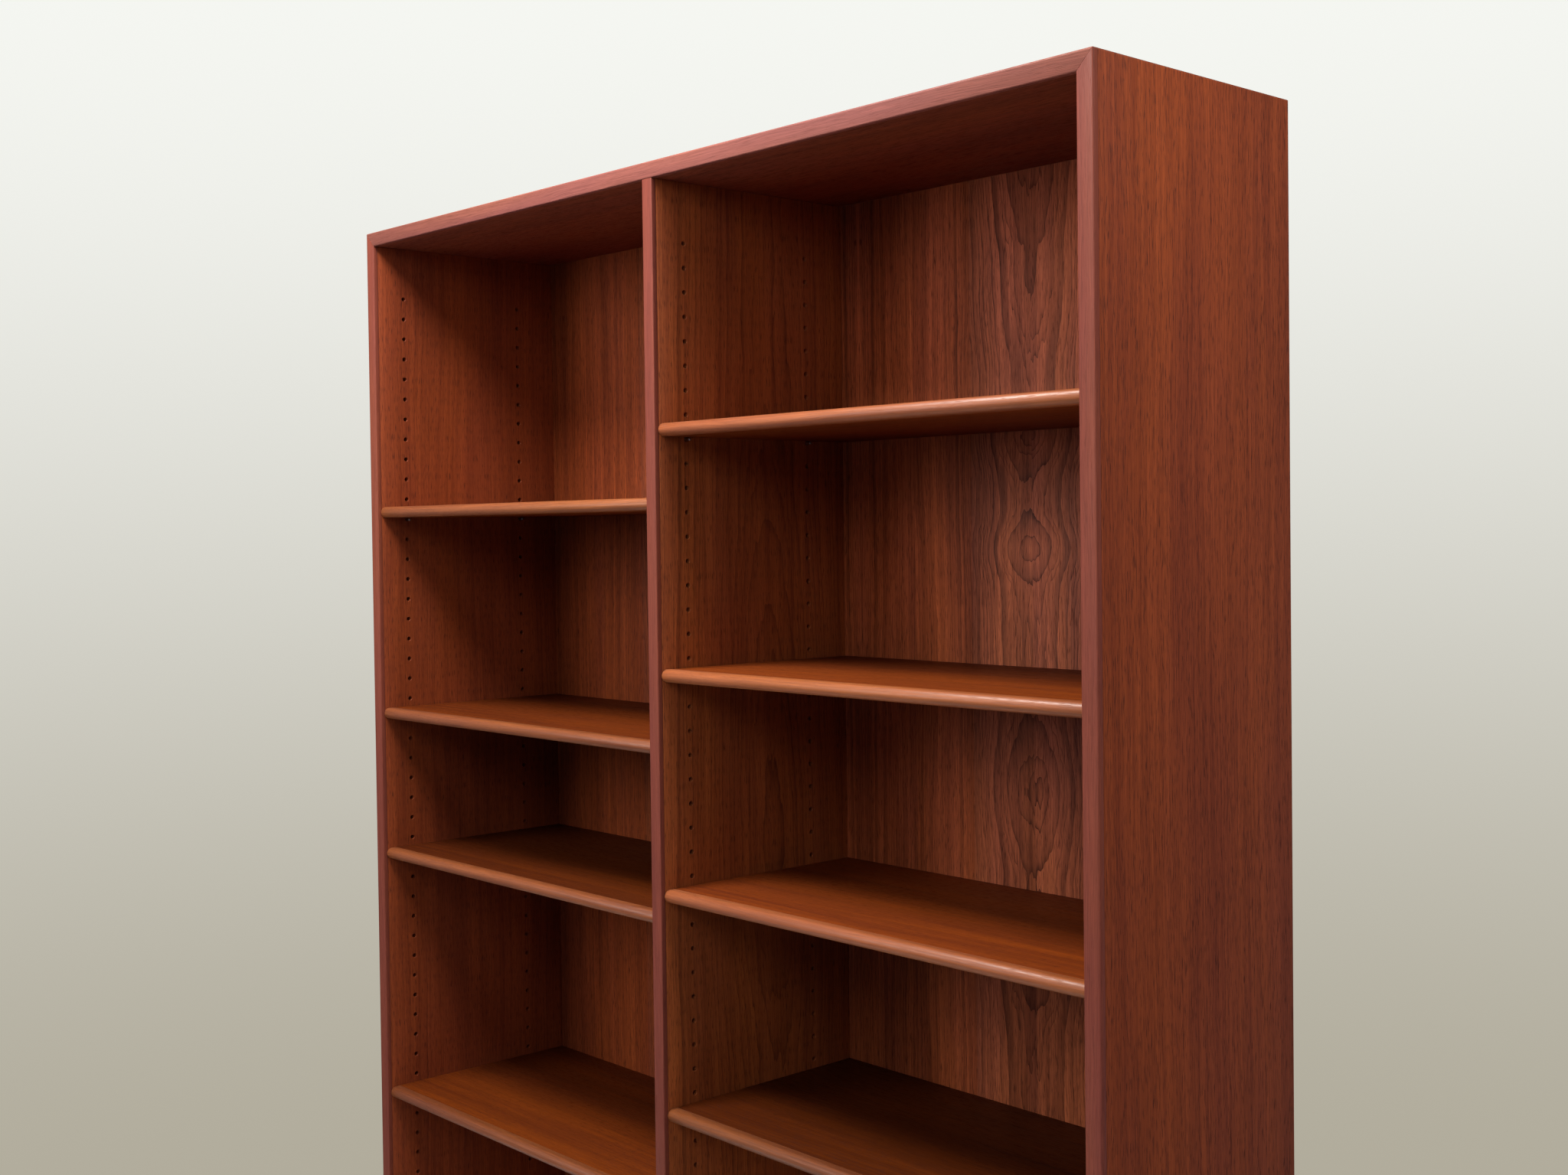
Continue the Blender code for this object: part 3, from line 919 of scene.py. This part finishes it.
def pin_steel():
    """Drawn steel rod, a little dulled, with fine marks along its length."""
    made, tree, shader, place = bare_finish("pin_steel")
    axes = add(tree, "ShaderNodeSeparateXYZ", {0: place}).outputs
    marks = stretch_noise(tree, axes[1], axes[2], axes[0], DRAWN_MARKS, 0.0)
    cloud = stretch_noise(tree, axes[1], axes[2], axes[0], DULL_CLOUDS, 7.0)
    tree.links.new(blended(tree, cloud, STEEL_DARK, STEEL_PALE), shader.inputs["Base Color"])
    tree.links.new(plus(tree, times(tree, marks, 0.25), 0.18), shader.inputs["Roughness"])
    roughened(tree, shader, marks, 0.2, 0.0001)
    shader.inputs["Metallic"].default_value = 1.0
    return made


shelf_pins = shelf_pin_tree()
steel = pin_steel()


def pin_set(column, order):
    ends = ("l_front", "l_rear", "r_front", "r_rear")
    nodes = [f"pin_{column}_{order}_{end}" for end in ends]
    low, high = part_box(nodes[0])
    far_low, far_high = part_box(nodes[-1])
    middle = [(low[axis] + high[axis]) / 2.0 for axis in range(3)]
    mesh = grown(
        shelf_pins,
        {
            "First": middle,
            "Row Gap": ROW_REAR - ROW_FRONT,
            "Bay Width": (far_low[0] + far_high[0]) / 2.0 - middle[0],
            "Radius": PIN_RADIUS,
            "Length": high[0] - low[0],
            "Ease": PIN_EASE,
            "Finish": steel,
        },
    )
    piece = as_piece(f"pins_{column}_{order}", mesh, steel)
    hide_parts(*nodes)
    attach(piece, "case")


for column, tones_and_shade in NOSE_TONES_AND_SHADE.items():
    for order in range(1, len(tones_and_shade) + 1):
        pin_set(column, order)

# ---------------------------------------------------------------------------------------------
# The studio.
# A round pale floor and five soft lamps: a window at the front left, one over the front, one at the
# front right, one over the right side and one behind. The camera is at the right front corner.

FLOOR_ROUND = 1.45
FLOOR_SIDES = 128
FLOOR_DARK = (0.66, 0.65, 0.61)
FLOOR_PALE = (0.74, 0.73, 0.69)
# The backdrop seen behind the case is painted on the world: pale at the top, with painted shade that
# makes it darker and yellower towards the bottom.
WALL_PAINTED_SHADE_LOW = (0.44, 0.41, 0.33)
WALL_HIGH = (0.92, 0.93, 0.89)
WALL_PAINTED_SHADE_FADE = (-0.35, 0.32)
ROOM_LIGHT = (0.135, 0.155, 0.20)
EYE = (1.87021, -1.60439, 1.41958)
TURN = 0.82077
TILT = -0.02284
LEAN = -0.01187
FOCAL = 41.397
SHIFT = (-0.02807, -0.00988)


def pale_floor():
    made, tree, shader, place = bare_finish("floor_plaster")
    specks = add(tree, "ShaderNodeTexNoise", {"Vector": place, "Scale": 30.0, "Detail": 4.0})
    colour = blended(tree, specks.outputs["Fac"], FLOOR_DARK, FLOOR_PALE)
    tree.links.new(colour, shader.inputs["Base Color"])
    shader.inputs["Roughness"].default_value = 0.7
    return made


bpy.ops.mesh.primitive_circle_add(vertices=FLOOR_SIDES, radius=FLOOR_ROUND, fill_type="NGON")
floor = bpy.context.object
floor.name = "studio_floor"
floor.data.materials.append(pale_floor())


def soft_light(name, place, aim, wide, watts, colour):
    data = bpy.data.lights.new(name, "AREA")
    data.shape = "DISK"
    data.size = wide
    data.energy = watts
    data.color = colour
    lamp = bpy.data.objects.new(name, data)
    lamp.location = place
    lamp.rotation_euler = (Vector(aim) - Vector(place)).to_track_quat("-Z", "Y").to_euler()
    bpy.context.scene.collection.objects.link(lamp)


soft_light("window", (-1.4, -2.8, 2.1), (0.2, 0.0, 1.5), 1.5, 38.0, (1.0, 0.98, 0.95))
soft_light("ceiling", (-0.1, -1.0, 2.9), (0.2, 0.0, 1.2), 0.7, 55.0, (1.0, 0.97, 0.93))
soft_light("front_right", (1.7, -2.3, 2.5), (0.0, 0.1, 1.5), 1.2, 16.0, (1.0, 0.97, 0.94))
soft_light("right_fill", (2.1, -0.2, 2.9), (0.7, 0.0, 1.7), 0.9, 34.0, (1.0, 0.96, 0.92))
soft_light("rear_fill", (-1.6, 3.2, 2.6), (0.0, 0.0, 0.9), 2.5, 40.0, (1.0, 0.98, 0.96))

world = bpy.data.worlds.new("studio")
bpy.context.scene.world = world
world.use_nodes = True
sky = world.node_tree
backing = sky.nodes["Background"]
# Painted shade on the backdrop: the colour the camera sees darkens towards the bottom.
way = add(sky, "ShaderNodeTexCoord").outputs["Generated"]
rise = add(sky, "ShaderNodeSeparateXYZ", {0: way}).outputs[2]
height = spread(sky, rise, *WALL_PAINTED_SHADE_FADE)
painted_shade_wall = blended(sky, height, WALL_PAINTED_SHADE_LOW, WALL_HIGH)
seen = add(sky, "ShaderNodeLightPath").outputs["Is Camera Ray"]
sky.links.new(blended(sky, seen, ROOM_LIGHT, painted_shade_wall), backing.inputs["Color"])
backing.inputs["Strength"].default_value = 1.0

camera_data = bpy.data.cameras.new("camera")
camera_data.lens = FOCAL
camera_data.shift_x, camera_data.shift_y = SHIFT
camera = bpy.data.objects.new("camera", camera_data)
camera.matrix_world = (
    Matrix.Translation(EYE)
    @ Matrix.Rotation(TURN, 4, "Z")
    @ Matrix.Rotation(0.5 * math.pi + TILT, 4, "X")
    @ Matrix.Rotation(LEAN, 4, "Z")
)
bpy.context.scene.collection.objects.link(camera)
bpy.context.scene.camera = camera
bpy.context.scene.view_settings.view_transform = "Standard"
